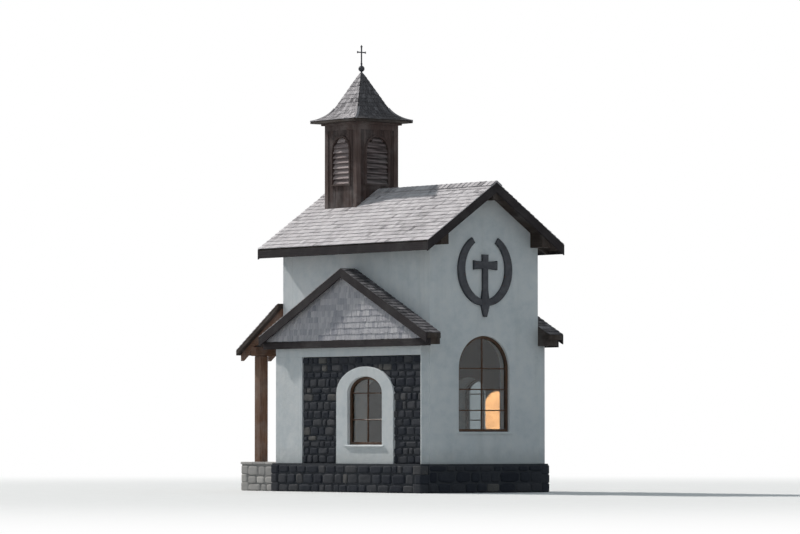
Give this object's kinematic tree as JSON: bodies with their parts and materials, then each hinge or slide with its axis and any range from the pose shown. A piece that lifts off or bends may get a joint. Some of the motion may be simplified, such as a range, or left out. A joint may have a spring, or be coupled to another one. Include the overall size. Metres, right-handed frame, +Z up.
{
  "type": "small wayside chapel",
  "caption": "Small white-plastered chapel with a shingled saddle roof, shingled side gables, rubble panels, a louvred bell turret, a rear porch and an emblem on the front gable.",
  "frame": {"origin": "centre of the nave's plan at ground level, on the plinth's underside", "axes": "+Z up, the ridge runs along Y, the front gable with the emblem faces -Y and the entrance under the porch faces +Y"},
  "size_m": [3.8, 7.93, 9.9387],
  "materials": {
    "plinth_rubble": "rough",
    "platform_stone": "rough",
    "floor_tiles": "matt",
    "plaster": "matt",
    "panel_rubble": "rough",
    "gable_shingles": "weathered",
    "roof_shingles": "weathered",
    "dark_boards": "matt",
    "brown_timber": "weathered",
    "turret_timber": "weathered",
    "black_iron": "matt",
    "frame_timber": "satin",
    "pane_glass": "clear"
  },
  "bodies": {
    "root": {"plinth": "plinth_rubble", "porch_platform": "platform_stone", "entrance_steps": "platform_stone", "nave_floor": "floor_tiles", "front_wall": "plaster", "left_wall": "plaster", "right_wall": "plaster", "back_wall_left": "plaster", "back_wall_right": "plaster", "back_wall_over": "plaster", "left_pier": "plaster", "right_pier": "plaster", "left_lintel_band": "plaster", "right_lintel_band": "plaster", "left_rubble_panel": "panel_rubble", "right_rubble_panel": "panel_rubble", "left_window_surround": "plaster", "right_window_surround": "plaster", "left_pediment": "gable_shingles", "right_pediment": "gable_shingles", "left_wing_roof": "roof_shingles", "right_wing_roof": "roof_shingles", "left_verge_boards": "dark_boards", "right_verge_boards": "dark_boards", "wing_fascias": "dark_boards", "roof_timbers": "dark_boards", "main_roof_left": "roof_shingles", "main_roof_right": "roof_shingles", "eave_fascias": "dark_boards", "front_barge_boards": "dark_boards", "back_barge_boards": "dark_boards", "ridge_cap": "roof_shingles", "turret_frame": "turret_timber", "turret_boards": "turret_timber", "turret_louvres": "turret_timber", "turret_cornice": "turret_timber", "turret_spire": "roof_shingles", "turret_finial": "black_iron", "porch_posts": "brown_timber", "porch_beam": "brown_timber", "porch_rafters": "brown_timber", "porch_roof": "roof_shingles", "emblem": "black_iron", "window_frames": "frame_timber", "window_glass": "pane_glass"}
  },
  "joints": []
}
